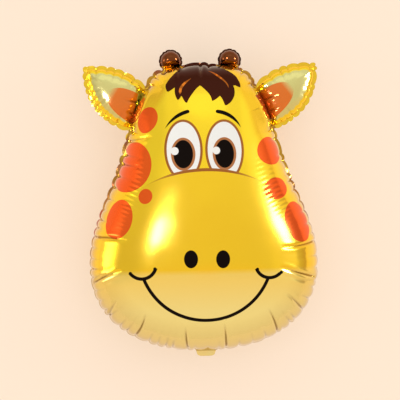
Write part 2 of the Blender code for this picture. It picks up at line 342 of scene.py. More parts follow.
def is_inside(points, outline):
    x, y = points[:, 0], points[:, 1]
    found = np.zeros(len(points), bool)
    for a, b in zip(outline, np.roll(outline, -1, 0)):
        crosses = (a[1] > y) != (b[1] > y)
        at = a[0] + (y - a[1]) * (b[0] - a[0]) / (b[1] - a[1] + 1e-30)
        found ^= crosses & (x < at)
    return found


def signed_gap(points, outline):
    """Distance to a closed outline, positive inside."""
    gap, _, _ = nearest(points, outline)
    return np.where(is_inside(points, outline), gap, -gap)


def beyond(points, start, end):
    """Which points, taken to the right half, lie outside the line from start to end."""
    way = np.array(end) - start
    off = np.column_stack([np.abs(points[:, 0]), points[:, 1]]) - start
    return way[0] * off[:, 1] - way[1] * off[:, 0] > -1e-7


def in_ears(points):
    return beyond(points, EAR_HEAD_AT, EAR_FOOT_AT) & (points[:, 1] > EAR_FOOT - FLANGE_WIDTH)


def in_horns(points):
    horn = horn_stretch()
    across = np.abs(np.abs(points[:, 0]) - HORN_OFFSET) < HORN_RADIUS * 1.02
    return beyond(points, horn[0], horn[-1]) & across & ~in_ears(points)


def by_part(points, on_ears, on_horns):
    """A share for each point: as given on the ears and on the horns, and 1 on the head."""
    return np.where(in_ears(points), on_ears, np.where(in_horns(points), on_horns, 1.0))


def base_welds(weld):
    """The welded lines across the feet of the two ears, then of the two horns, as far as the rim's weld."""
    horn = horn_stretch()
    lines = []
    for start, end in ((EAR_HEAD_AT, EAR_FOOT_AT), (horn[0], horn[-1])):
        line = straight(start, end, LINE_STEP)
        line = line[is_inside(line, weld)]
        line = line[nearest(line, weld)[0] > LINE_STEP]
        lines += [line, line * [-1, 1]]
    return lines


# Folds that run in from the rim, and across the ears' feet, as the photograph shows them: the pixel where
# each starts, the pixel where it fades out, and its depth
FOLDS = [
    ((95, 236), (127, 240), 0.0040),
    ((95, 281), (122, 271), 0.0042),
    ((96, 277), (114, 268), 0.0016),
    ((126, 141), (152, 136), 0.0030),
    ((118, 163), (140, 167), 0.0030),
    ((108, 316), (119, 297), 0.0030),
    ((135, 335), (146, 308), 0.0040),
    ((173, 346), (174, 338), 0.0020),
    ((188, 350), (186, 322), 0.0042),
    ((226, 350), (224, 318), 0.0042),
    ((239, 346), (239, 338), 0.0020),
    ((278, 333), (266, 304), 0.0042),
    ((266, 338), (263, 328), 0.0020),
    ((303, 309), (284, 290), 0.0034),
    ((296, 320), (289, 311), 0.0022),
    ((313, 276), (280, 267), 0.0040),
    ((311, 280), (290, 275), 0.0014),
    ((312, 241), (282, 247), 0.0036),
    ((297, 170), (283, 172), 0.0020),
    ((293, 150), (276, 155), 0.0018),
    ((200.6, 67), (201.2, 78), 0.0022),
    ((178, 71), (178.6, 79), 0.0016),
]
EAR_FOLDS = [
    ((137, 103), (124, 100), 0.0034),
    ((133, 115), (126, 112), 0.0028),
    ((140, 92), (133, 84), 0.0024),
    ((131, 122), (126, 117), 0.0020),
    ((266, 99), (279, 94), 0.0034),
    ((270, 111), (282, 106), 0.0028),
    ((262, 90), (272, 84), 0.0024),
    ((272, 119), (279, 115), 0.0020),
    ((88, 73), (104, 83), -0.0016),
    ((313, 70), (298, 80), -0.0016),
]


def fold_lines():
    """Each fold as points, gently bent, with its depth."""
    lines = []
    for (start, end, depth), bend in zip(FOLDS + EAR_FOLDS, rng.uniform(-0.07, 0.07, 99)):
        a, b = plan(*start), plan(*end)
        far = np.linalg.norm(b - a)
        points = bowed(a, b, far * bend, max(4, round(far / LINE_STEP)))
        lines.append((np.vstack([points, b]), depth))
    return lines


# Hair and its two light strokes, as closed outlines in pixels; a corner is a point given twice
HAIR = [
    (216.3, 58.0), (216.3, 58.0), (216.3, 65.6), (219.5, 68.3), (224.0, 69.0), (230.4, 71.9), (235.5, 75.7),
    (238.7, 80.2), (240.5, 84.6), (240.6, 87.8), (240.6, 87.8), (236.7, 85.9), (232.9, 84.3), (232.9, 84.3),
    (234.5, 88.5), (234.8, 93.6), (233.5, 98.0), (230.4, 102.5), (225.4, 106.0), (225.4, 106.0),
    (224.0, 102.5), (222.1, 98.4), (219.7, 95.2), (219.7, 95.2), (218.9, 96.6), (216.3, 98.9), (212.2, 101.2),
    (212.2, 101.2), (211.7, 99.3), (210.9, 96.8), (208.7, 93.3), (204.2, 88.8), (200.1, 85.3), (200.1, 85.3),
    (195.9, 89.1), (191.5, 94.8), (188.3, 100.0), (186.8, 103.8), (186.8, 103.8), (184.9, 101.9),
    (183.0, 98.7), (181.4, 95.2), (181.4, 95.2), (179.8, 98.4), (177.9, 100.9), (177.9, 100.9),
    (175.8, 96.8), (174.6, 92.3), (174.9, 87.2), (174.9, 87.2), (171.3, 90.0), (167.2, 92.6), (167.2, 92.6),
    (165.3, 86.6), (167.2, 81.5), (171.7, 75.7), (177.4, 70.6), (182.5, 67.4), (184.4, 66.4),
    (184.4, 58.0), (184.4, 58.0),
]
STROKES = [
    [(191.1, 78.3), (191.1, 78.3), (188.3, 81.0), (184.6, 84.7), (182.0, 88.6), (181.2, 92.4), (179.9, 94.2),
     (179.9, 94.2), (178.8, 91.4), (180.0, 87.0), (184.0, 82.3)],
    [(208.0, 70.9), (208.0, 70.9), (213.1, 72.3), (217.4, 74.5), (222.3, 77.8), (226.3, 81.6), (228.4, 84.8),
     (228.7, 87.5), (228.7, 87.5), (227.3, 85.0), (225.0, 82.0), (221.2, 78.9), (217.0, 76.2), (212.8, 73.4)],
]


def smooth_outline(pixels):
    """A closed curve through pixels as points in plan; it has a corner where a pixel comes twice."""
    points = [plan(*p) for p in pixels]
    count = len(points)
    curve = []
    for k in range(count):
        before, a, b, after = (points[(k + j) % count] for j in (-1, 0, 1, 2))
        far = np.linalg.norm(b - a)
        if far < 1e-6:
            continue
        steps = max(1, round(far / LINE_STEP))
        first, second = a + (b - before) / 6, b - (after - a) / 6
        if np.linalg.norm(a - before) < 1e-6:
            first = a + (b - a) / 3
        if np.linalg.norm(after - b) < 1e-6:
            second = b - (b - a) / 3
        curve.append(bezier(a, first, second, b, steps))
    return np.vstack(curve)


# Flat mesh of the film and the height that pressure gives it

def lattice(weld, spacing):
    low, high = weld.min(0), weld.max(0)
    rows = np.arange(low[1], high[1], spacing * math.sqrt(0.75))
    columns = np.arange(low[0], high[0], spacing)
    return np.array([(x + (k % 2) * spacing / 2, y) for k, y in enumerate(rows) for x in columns])


def thinned(groups):
    """Points of all groups, in order, leaving out each that lies too near to one kept before."""
    cell = max(apart for _, apart in groups)
    kept, cells = [], {}
    for group, apart in groups:
        for x, y in group.tolist():
            i, j = int(x // cell), int(y // cell)
            near = (p for a in (-1, 0, 1) for b in (-1, 0, 1) for p in cells.get((i + a, j + b), ()))
            if all((x - p[0]) ** 2 + (y - p[1]) ** 2 > apart * apart for p in near):
                kept.append((x, y))
                cells.setdefault((i, j), []).append((x, y))
    return np.array(kept)


def bell(values, height, place, spread):
    return height * np.exp(-(((values - place) / spread) ** 2))


def ribbed(flat, gap):
    """How strong the fine ribs are: on the shoulders of the film beside the eyes and above the cheeks."""
    strength = bell(gap, 1, RIB_PLACE, RIB_SPREAD) * bell(flat[:, 1], 1, RIB_LEVEL, RIB_LEVEL_SPREAD)
    return strength * (np.abs(flat[:, 0]) > RIB_FREE_MIDDLE) * ~in_ears(flat)


def flat_film(weld, open_lines, closed_lines):
    """Triangles over the film inside the weld. The first points are the weld's, then the first ring's."""
    count = len(weld)
    out = outward(weld)
    first_ring = weld - out * RINGS[0]
    groups = []
    for before, inward in zip(RINGS, RINGS[1:]):
        ring = weld - out * inward
        ring = ring[nearest(ring, weld)[0] > inward * 0.93]
        groups.append((ring, min((inward - before) * 0.8, RING_APART)))
    for line in open_lines:
        way = np.gradient(line, axis=0)
        side = np.column_stack([-way[:, 1], way[:, 0]]) / np.linalg.norm(way, axis=1)[:, None]
        for off in LINE_SIDES:
            groups.append((line + side * off, SIDE_APART))
    fine = lattice(weld, FINE_LATTICE)
    by_ears = np.min([nearest(fine, line, False)[0] for line in open_lines[:2]], axis=0) < EAR_FINE_REACH
    ribs = ribbed(fine, nearest(fine, weld)[0]) > 0.2
    fine = fine[ribs | in_horns(fine) | (by_ears & ~in_ears(fine))]
    groups.append((fine, FINE_LATTICE * 0.6))
    all_over = lattice(weld, LATTICE)
    all_over = all_over[nearest(all_over, weld)[0] > RINGS[-1] + LATTICE * 0.5]
    groups.append((all_over, LATTICE * 0.6))
    inner = thinned(groups)
    inner = inner[is_inside(inner, first_ring)]
    for line in open_lines:
        inner = inner[nearest(inner, line, False)[0] > LINE_STEP * 0.7]
    for line in closed_lines:
        inner = inner[nearest(inner, line)[0] > LINE_STEP * 0.6]
    runs = [(weld, 1), (first_ring, 1)]
    runs += [(line, 0) for line in open_lines] + [(line, 1) for line in closed_lines]
    edges, first = [], 0
    for run, closed in runs:
        edges += [(first + k, first + (k + 1) % len(run)) for k in range(len(run) - 1 + closed)]
        first += len(run)
    points = np.vstack([*[run for run, _ in runs], inner])
    vectors = [Vector(p) for p in points]
    verts, _, faces, *_ = delaunay_2d_cdt(vectors, edges, [list(range(count))], 1, 1e-6)
    flat = np.array([(v.x, v.y) for v in verts])
    corners = np.array(faces)
    a, b, c = (flat[corners[:, k]] for k in range(3))
    turned = (b[:, 0] - a[:, 0]) * (c[:, 1] - a[:, 1]) < (b[:, 1] - a[:, 1]) * (c[:, 0] - a[:, 0])
    corners[turned] = corners[turned][:, ::-1]
    return flat, corners


def film_lift(flat, corners, held):
    """How far an even pressure lifts a film that is held at some points, by linear finite elements."""
    p = flat[corners]
    along, across = p[:, 1] - p[:, 0], p[:, 2] - p[:, 0]
    area = 0.5 * (along[:, 0] * across[:, 1] - along[:, 1] * across[:, 0])
    rows, columns, weights = [], [], []
    load = np.zeros(len(flat))
    for k in range(3):
        i, j, opposite = corners[:, k], corners[:, (k + 1) % 3], corners[:, (k + 2) % 3]
        to_i = flat[i] - flat[opposite]
        to_j = flat[j] - flat[opposite]
        half_cotangent = (to_i * to_j).sum(1) / np.maximum(4 * area, 1e-13)
        rows += [i, j]
        columns += [j, i]
        weights += [half_cotangent, half_cotangent]
        load += np.bincount(i, area / 3, len(flat))
    rows, columns, weights = (np.concatenate(part) for part in (rows, columns, weights))
    diagonal = np.maximum(np.bincount(rows, weights, len(flat)), 1e-9)
    free = ~held
    lift = np.zeros(len(flat))
    left = np.where(free, load, 0)
    eased = left / diagonal
    way = eased.copy()
    size = left @ eased
    goal = 1e-14 * size
    for _ in range(3000):
        pushed = np.where(free, diagonal * way - np.bincount(rows, weights * way[columns], len(flat)), 0)
        step = size / (way @ pushed)
        lift += step * way
        left -= step * pushed
        eased = left / diagonal
        before, size = size, left @ eased
        if size < goal:
            break
        way = eased + way * size / before
    return np.maximum(lift, 0)


def puffed(flat, lift):
    height = np.zeros(len(flat))
    ears, horns = in_ears(flat), in_horns(flat)
    for area, depth in ((ears, EAR_DEPTH), (horns, HORN_DEPTH), (~ears & ~horns, HEAD_DEPTH)):
        height[area] = depth * (lift[area] / lift[area].max()) ** PUFF_POWER
    return height


# Puckers, lobes and ribs

def noise_line(count, seed):
    """Random values on a ring, for smooth interpolation."""
    return np.random.default_rng(seed).uniform(-1, 1, count)


def read_ring(values, at):
    """Smoothly interpolated values at places 0..1 round the ring."""
    at = (at % 1.0) * len(values)
    low = np.floor(at).astype(int)
    t = at - low
    t = t * t * (3 - 2 * t)
    return values[low % len(values)] * (1 - t) + values[(low + 1) % len(values)] * t


def read_field(points, cell, seed):
    """Smooth random values over the plane, with features of about two cells."""
    table = np.random.default_rng(seed).uniform(-1, 1, (64, 64))
    at = points / cell + 32
    low = np.floor(at).astype(int)
    t = at - low
    t = t * t * (3 - 2 * t)
    x0, y0 = low[:, 0] % 64, low[:, 1] % 64
    x1, y1 = (x0 + 1) % 64, (y0 + 1) % 64
    bottom = table[x0, y0] * (1 - t[:, 0]) + table[x1, y0] * t[:, 0]
    top = table[x0, y1] * (1 - t[:, 0]) + table[x1, y1] * t[:, 0]
    return bottom * (1 - t[:, 1]) + top * t[:, 1]


class Puckers:
    """The creases round the rim, with uneven steps, depths, reaches and curls."""

    def __init__(self, outline, folds):
        self.length = run_of(outline)[-1]
        places, at = [], 0.0
        while at < self.length:
            places.append(at)
            point = at_places(outline, [at])
            x, y = abs(point[0, 0]), point[0, 1]
            pitch = PUCKER_PITCH
            if in_horns(point)[0]:
                pitch = HORN_PITCH
            elif in_ears(point)[0] and y < EAR_TIP_HEIGHT - EAR_PITCH_END and x > EAR_PITCH_FROM:
                pitch = EAR_PITCH
            at += pitch * rng.uniform(*PITCH_RANGE)
        places = np.array(places) * self.length / at
        for line, _ in folds:
            gap, along, _ = nearest(line[:1], outline)
            if gap[0] < FOLD_NEAR_RIM:
                places[1 + np.abs(places[1:] - along[0]).argmin()] = along[0]
        self.places = np.sort(places)
        count = len(places)
        self.depths = rng.uniform(*DEPTH_RANGE, count)
        self.reaches = PUCKER_REACH * rng.uniform(*REACH_RANGE, count)
        self.curls = rng.uniform(-1, 1, count)

    def rim_places(self):
        """Lengths along the rim at each crease and between the creases, closer together beside them."""
        spans = np.diff(np.append(self.places, self.length))
        return (self.places[:, None] + spans[:, None] * RIM_SHARES).ravel()

    def read(self, along):
        """Share of the lobe gone by, distance from the crease, and the numbers of the crease and the lobe."""
        ends = np.append(self.places, self.length)
        along = np.clip(along, 0, self.length * (1 - 1e-9))
        lobe = np.searchsorted(ends, along, "right") - 1
        span = ends[lobe + 1] - ends[lobe]
        share = (along - ends[lobe]) / span
        number = np.where(share < 0.5, lobe, (lobe + 1) % len(self.places))
        return share, np.minimum(share, 1 - share) * span, number, lobe


def eased(share):
    share = np.clip(share, 0, 1)
    return share * share * (3 - 2 * share)


def scalloped(share):
    """1 at a crease and 0 on the middle of a lobe, for the round lobes of the flange."""
    return 1 - np.abs(np.sin(math.pi * share)) ** 0.7


def vertex_normals(points, corners):
    a, b, c = (points[corners[:, k]] for k in range(3))
    face = np.cross(b - a, c - a)
    total = np.zeros_like(points)
    for k in range(3):
        for axis in range(3):
            total[:, axis] += np.bincount(corners[:, k], face[:, axis], len(points))
    return total / np.maximum(np.linalg.norm(total, axis=1), 1e-20)[:, None]


def with_strips(flat, corners, height, weld, rim):
    """The film with steep strips in place of the one inside the weld, and with the rows of the flange."""
    count = len(weld)
    corners = corners[~(corners < count).any(1)]
    rows = [np.arange(count)]
    for step in STEEP_SHARES:
        rows.append(np.arange(count) + len(flat))
        ring = flat[:count] * (1 - step) + flat[count : 2 * count] * step
        flat = np.vstack([flat, ring])
        height = np.concatenate([height, height[count : 2 * count] * step**PUFF_POWER])
    rows.append(np.arange(count) + count)
    for step in reversed(FLANGE_ROWS):
        rows.insert(0, np.arange(count) + len(flat))
        flat = np.vstack([flat, weld * (1 - step) + rim * step])
        height = np.concatenate([height, np.zeros(count)])
    for outer, inner in zip(rows, rows[1:]):
        a, b = outer, np.roll(outer, -1)
        c, d = np.roll(inner, -1), inner
        corners = np.vstack([corners, np.column_stack([b, a, d]), np.column_stack([b, d, c])])
    return flat, corners, height, rows


def build_film():
    """Plan and height of the film: arrays that the front and the back are made from."""
    outline = rim_outline()
    folds = fold_lines()
    puckers = Puckers(outline, folds)
    places = puckers.rim_places()
    even = at_places(outline, places)
    share, _, number, _ = puckers.read(places)
    out = outward(even)
    flange = np.where(in_horns(even), HORN_FLANGE_WIDTH, FLANGE_WIDTH)
    flange = sum(np.roll(flange, k) for k in range(-3, 4)) / 7
    bend = FLANGE_BEND * eased((BEND_FROM - even[:, 1]) / (BEND_FROM - BEND_FULL))
    pulled = PUCKER_IN * scalloped(share) * puckers.depths[number] * by_part(even, 1.0, HORN_PULL)
    rim = with_neck(even - out * pulled[:, None])
    weld = even - out * (flange * np.cos(bend) + pulled / 2)[:, None]

    welds = base_welds(weld)
    inked = [smooth_outline(p) for p in [HAIR] + STROKES]
    fold_parts = []
    for line, _ in folds:
        line = line[is_inside(line, weld)]
        line = line[nearest(line, weld)[0] > RINGS[0] + LINE_STEP]
        if len(line) > 2:
            fold_parts.append(line)
    flat, corners = flat_film(weld, welds + fold_parts, inked[1:])

    on_line = np.zeros(len(flat), bool)
    for line in welds:
        on_line |= nearest(flat, line, False)[0] < 1e-5
    held = on_line.copy()
    held[: len(weld)] = True
    height = puffed(flat, film_lift(flat, corners, held))
    height[on_line] = WEB_DEPTH

    flat, corners, height, rows = with_strips(flat, corners, height, weld, rim)
    gap, _, _ = nearest(flat, weld)
    _, along, _ = nearest(flat, even)
    along = np.interp(along, run_of(even), np.append(places, puckers.length))
    for row in rows:
        along[row] = places
    return {
        "flat": flat, "corners": corners, "height": height, "rows": rows, "gap": gap, "along": along,
        "puckers": puckers, "folds": folds, "welds": welds, "inked": inked, "drop": flange * np.sin(bend),
    }


def press_folds(film, move, shade):
    """Press the long folds into the film, with raised banks, and paint shade along their creases."""
    for line, depth in film["folds"]:
        off, so_far, _ = nearest(film["flat"], line, False)
        gone = so_far / np.linalg.norm(line[-1] - line[0])
        taper = np.clip(1 - gone, 0, 1) ** ROUNDNESS
        groove = FOLD_SHARE * np.exp(-off / FOLD_WIDTH) - bell(off, *FOLD_BANKS)
        move -= depth * taper * groove * np.clip(film["gap"] / FOLD_WHOLE, 0, 1)
        # Painted shade along the fold's crease
        dark = np.exp(-off / CREASE_LINE) * np.clip((FOLD_DARK_END - gone) / FOLD_DARK_FADE, 0, 1)
        dark *= np.clip(depth / DARK_FOLD_DEPTH, 0, 1)
        shade[:] = np.maximum(shade, 0.9 * dark)


def press_gathers(film, move):
    """Gather the film along the welds across it, and shape the head beside the ears' feet."""
    flat = film["flat"]
    for line in film["welds"]:
        off, so_far, _ = nearest(flat, line, False)
        gathers = np.abs(np.sin(so_far / GATHER_PITCH * math.pi + 0.7)) ** ROUNDNESS
        near = np.exp(-off / GATHER_REACH)
        move -= GATHER_DEPTH * (1 - gathers) * near * np.clip(off / GATHER_START, 0, 1)
    for line in film["welds"][:2]:
        off, _, _ = nearest(flat, line, False)
        ridge = bell(off, *EAR_RIDGE) - bell(off, *EAR_HOLLOW)
        move += np.where(in_ears(flat), 0, ridge) * np.clip(film["gap"] / 0.02, 0, 1)


def wrinkled(film, side):
    """The points of the front (side 1) or back (side -1) film before they are set on the weld plane."""
    flat, height, gap, puckers = film["flat"], film["height"], film["gap"], film["puckers"]
    base = np.column_stack([flat, height])
    normals = vertex_normals(base, film["corners"])
    far = np.sqrt(gap**2 + height**2)
    share, from_crease, number, lobe = puckers.read(film["along"])
    reach = by_part(flat, EAR_REACH, HORN_REACH)
    rise = 1 - np.exp(-far / PUCKER_RISE)
    fade = np.clip(1 - far / (puckers.reaches[number] * reach), 0, 1) ** CREASE_FADE
    move = -PUCKER_DEPTH * puckers.depths[number] * np.exp(-from_crease / PUCKER_WIDTH) * rise * fade
    swelling = np.abs(np.sin(math.pi * share)) ** ROUNDNESS - LOBE_LEVEL
    move += LOBE_OUT * swelling * rise * np.clip(1 - far / (PUCKER_REACH * reach), 0, 1) ** LOBE_FADE
    move *= by_part(flat, EAR_PUCKERS, HORN_PUCKERS)

    # Ribs where the wall bends over to the front, and a gentle unevenness everywhere
    seed = 11 if side > 0 else 23
    turn = film["along"] / puckers.length
    waves = 2 * round(puckers.length / RIB_LENGTH / 2)
    rib = read_ring((0.7 + 0.3 * noise_line(waves, seed)) * (-1.0) ** np.arange(waves), turn)
    strength = 0.65 + 0.35 * read_ring(noise_line(60, seed + 1), turn)
    move += RIB_DEPTH * rib * strength * ribbed(flat, gap)
    move += SWELL * read_field(flat, SWELL_LENGTH, seed + 2) * np.clip(far / 0.03, 0, 1)

    # Painted shade along the puckers' creases, kept off the horns
    shade = 0.75 * np.exp(-from_crease / CREASE_LINE) * rise * fade * puckers.depths[number] * ~in_horns(flat)
    if side > 0:
        press_folds(film, move, shade)
    press_gathers(film, move)

    share_out = np.zeros(len(flat))
    for row, step in zip(film["rows"], FLANGE_ROWS):
        share_out[row] = step
    move[share_out > 0] = 0
    points = base + normals * move[:, None]
    points[:, 2] = np.maximum(points[:, 2], 0)

    # The flange's lobes curl up or down a little, dip at the creases, and follow the flange's bend
    dip = scalloped(share)
    curls = puckers.curls[lobe] * (1 - dip) - 0.45 * dip * puckers.curls[lobe - 1]
    curl = FLANGE_CURL * share_out**1.4 * curls * by_part(flat, 1.0, HORN_CURL)
    for row, step in zip(film["rows"], FLANGE_ROWS):
        curl[row] -= film["drop"] * step
    return points, curl, share_out, shade


def add_object(name, data):
    made = bpy.data.objects.new(name, data)
    bpy.context.scene.collection.objects.link(made)
    return made


def build_balloon():
    film = build_film()
    flat = film["flat"]
    front, curl, share_out, shade = wrinkled(film, 1)
    back, _, _, back_shade = wrinkled(film, -1)
    count = len(front)
    flange = share_out > 0
    on_neck = (np.abs(flat[:, 0]) < NECK_HALF_WIDTH * 1.2) & (flat[:, 1] < CHIN + FLANGE_WIDTH)
    curl = np.where(on_neck, curl * NECK_CURL, curl)
    shade = np.where(on_neck, 0, shade)
    flange_curl = np.where(flange, curl, 0)
    front_z = WELD_PLANE + front[:, 2] + FILM_HALF_THICKNESS + flange_curl
    back_z = np.maximum(WELD_PLANE - back[:, 2] - FILM_HALF_THICKNESS + flange_curl, 0)
    points = np.vstack([np.column_stack([front[:, :2], front_z]), np.column_stack([back[:, :2], back_z])])
    corners = film["corners"]
    # Outer edge between the two films; the rim runs clockwise
    rim_row = film["rows"][0]
    follow = np.roll(rim_row, -1)
    edge = np.vstack([
        np.column_stack([rim_row, follow, rim_row + count]),
        np.column_stack([follow, follow + count, rim_row + count]),
    ])
    faces = np.vstack([corners, corners[:, ::-1] + count, edge])
    mesh = bpy.data.meshes.new("balloon_film")
    mesh.from_pydata(points.tolist(), [], faces.tolist())
    mesh.validate()
    mesh.shade_smooth()
    mesh.set_sharp_from_angle(angle=math.radians(62))

    # What the inks and the painted crease shade need at each point of the front and of the back
    inward = np.where(flange, -film["gap"], film["gap"])
    hair = signed_gap(flat, film["inked"][0])
    strokes = np.max([signed_gap(flat, line) for line in film["inked"][1:]], axis=0)
    values = {
        "inward": (inward, inward),
        "hair": (hair, hair),
        "strokes": (strokes, strokes),
        "painted_crease_shade": (shade, back_shade),
        "front": (np.ones(count), np.zeros(count)),
    }
    for name, halves in values.items():
        layer = mesh.attributes.new(name, "FLOAT", "POINT")
        layer.data.foreach_set("value", np.concatenate(halves).astype(np.float32))
    smooth = [np.column_stack([flat, WELD_PLANE + side * film["height"]]) for side in (1, -1)]
    layer = mesh.attributes.new("print_place", "FLOAT_VECTOR", "POINT")
    layer.data.foreach_set("vector", np.vstack(smooth).astype(np.float32).ravel())
    return add_object("balloon_film", mesh)


# Inks, and colours of painted shade and reflection

YELLOW = (0.97, 0.67, 0.003)
GOLD = (0.94, 0.61, 0.003)
# Chin's cream: partly print, partly painted reflection of the pale floor; the rim's cream is deeper by
# painted shade
CREAM = (0.90, 0.81, 0.31)
SHADED_RIM_CREAM = (0.75, 0.61, 0.21)
# Painted shade on the film beside the weld: what it leaves of a colour, and how far in from the weld it fades
WELD_PAINTED_SHADE = (0.82, 0.72, 0.60)
WELD_FADE = 0.014
ORANGE_RED = (0.90, 0.115, 0.005)
# A darker red of painted shade, for the petals' edges and the spots over the rim
SHADED_RIM_RED = (0.45, 0.07, 0.01)
EAR_ORANGE = (0.72, 0.165, 0.006)
EAR_SILVER = (0.68, 0.62, 0.22)
# Flange colours, deeper than the film: partly print over the rim, partly painted shade and dark reflection
FLANGE_GOLD = (0.50, 0.26, 0.006)
NECK_CREAM = (0.84, 0.70, 0.27)
FLANGE_SHADE_BROWN = (0.30, 0.08, 0.02)
EAR_FLANGE = (0.84, 0.55, 0.012)
# Cream of the low flange: painted reflection of the floor, deeper by painted shade
FLANGE_CREAM = (0.56, 0.39, 0.09)
HORN_EDGE = (0.05, 0.012, 0.004)
# Painted shade that darkens the creases
CREASE_PAINTED_SHADE = (0.15, 0.07, 0.01)
HAIR_BROWN = (0.052, 0.010, 0.004)
HORN_BROWN = (0.16, 0.045, 0.012)
LINE_BROWN = (0.37, 0.11, 0.003)
INK_BLACK = (0.006, 0.003, 0.002)
EYE_WHITE = (0.79, 0.82, 0.84)
STROKE_ORANGE = (0.80, 0.22, 0.02)
EDGE = 0.00045

EYES = [(183.4, 150.0, 19.3, 30.6), (224.7, 150.0, 19.4, 30.9)]
PUPILS = [(183.2, 154.2, 9.8, 14.1), (224.65, 153.6, 9.45, 14.1)]
GLINTS = [(174.6, 151.1, 4.0, 4.0), (216.4, 150.4, 3.8, 3.8)]
NOSTRILS = [(191.0, 259.3, 7.0, 9.0), (223.2, 259.3, 7.0, 9.0)]
EYE_LINE = 2.35
MUZZLE = (206.0, 264.1, 107.0, 95.1)
MUZZLE_INSIDE = (206.0, 264.1, 115.0, 92.5)
SMILE = (206.0, 253.2, 67.3, 67.3)
CHEEKS = [(141.5, 264.3, 14.6, 14.6), (270.2, 263.5, 14.3, 14.3)]
CHEEK_ENDS = [((130.4, 273.3), (154.9, 268.9)), ((257.7, 269.4), (281.6, 272.4))]
MOUTH_STROKE = 3.3
SMILE_ENDS = ((143, 278.6), (268, 277))

# The chin's cream, partly print and partly painted reflection of the pale floor: the pixel of its upper edge,
# the width of that edge, and how it grows downwards; then where the painted shade of the cream along the rim
# begins to fade, and over what width
CHIN_TOP = (203, 272.5)
CHIN_EDGE = 0.012
CHIN_REACH = 0.16
CHIN_START = 0.45
RIM_CREAM_FROM = 0.015
RIM_CREAM_FADE = 0.055

# The muzzle's line fades to nothing at this distance from the middle, over this length
MUZZLE_LINE_END = 0.135
MUZZLE_LINE_FADE = 0.07

# Ears: the pixels at the two ends of each foot, the width of the gold edge and of its blur, and each orange
# petal's root pixel, length and half-width in pixels, and heading in degrees
EAR_FEET = [((146, 84), (129, 131)), ((272, 118), (255, 82))]
EAR_EDGE = 0.0102
EAR_EDGE_BLUR = 0.003
LEFT_PETAL_FOOT = ((139, 90), (131.5, 125))
EAR_PETALS = [((133.0, 108.0), 29.0, 14.5, 148), ((268.0, 104.0), 30.0, 14.5, 37)]
PETAL_FADE = 0.016
PETAL_END = 0.98

# The brown of the horns: how far past the horn's centre its middle is, its radii, and its lower end
HORN_INK_UP = 0.004
HORN_INK = (0.032, 0.030)
HORN_INK_END = 0.3115

# The flange's colours: width of the edge, where the chin's cream begins, and the scale of the patches of
# painted dark reflection
FLANGE_EDGE = 0.0012
FLANGE_CREAM_REACH = 0.06
FLANGE_CREAM_START = 0.9
DARK_REFLECTION_SCALE = 24

# Metal and clear coat of plain film, and what dark ink, orange petals and spots change
METAL = 0.98
DARK_METAL = 0.02
PETAL_METAL = -0.5
COAT = 0.65
DARK_COAT = -0.57
ORANGE_COAT = -0.35
COAT_ROUGHNESS = 0.20
SMOOTHEST = 0.09
ROUGHNESS_RANGE = 0.08
GRAIN_SCALE = 38
GRAIN_DETAIL = 4

# Brows: three pixels of the upper edge, three of the lower, and two that cut the thick end with its round
BROWS = [
    (((165.3, 127.8), (173.8, 116.6), (187.0, 109.8)), ((165.3, 128.2), (177.0, 118.1), (188.3, 113.2)),
     ((187.6, 116.0), (187.4, 105.0), (187.6, 111.5, 1.9, 1.75))),
    (((240.9, 126.8), (233.0, 115.6), (218.0, 109.6)), ((240.9, 127.2), (229.6, 117.2), (217.6, 113.1)),
     ((217.6, 105.0), (217.4, 116.0), (217.6, 111.3, 1.8, 1.75))),
]

# Spots: pixel centre, half-width, half-height, turn in degrees anticlockwise
SPOTS = [
    (146.6, 120.0, 9.0, 13.2, -14), (131.5, 168.0, 12.5, 25.5, -16), (119.0, 219.5, 12.6, 19.6, -16),
    (145.4, 196.5, 6.5, 7.4, -14), (270.5, 150.5, 11.0, 13.8, 24), (276.5, 188.3, 11.8, 10.6, 16),
    (298.0, 221.6, 12.0, 20.4, 18),
]

# Spots that run over the rim, and those of the back, as ellipses in plan: the same values
RIM_SPOTS = [(95.5, 220.0, 6.0, 19.0, -14), (303.0, 187.0, 5.0, 16.0, 22)]
BACK_SPOTS = [
    (156, 130, 13, 18, -20), (146, 188, 15, 22, -12), (186, 170, 12, 15, 10), (126, 250, 15, 19, 8),
    (258, 132, 14, 18, 18), (266, 190, 15, 22, 14), (232, 168, 11, 13, -8), (288, 254, 14, 19, -6),
    (204, 222, 16, 14, 0), (168, 276, 18, 14, 12), (244, 282, 17, 15, -14), (205, 130, 11, 14, 4),
]


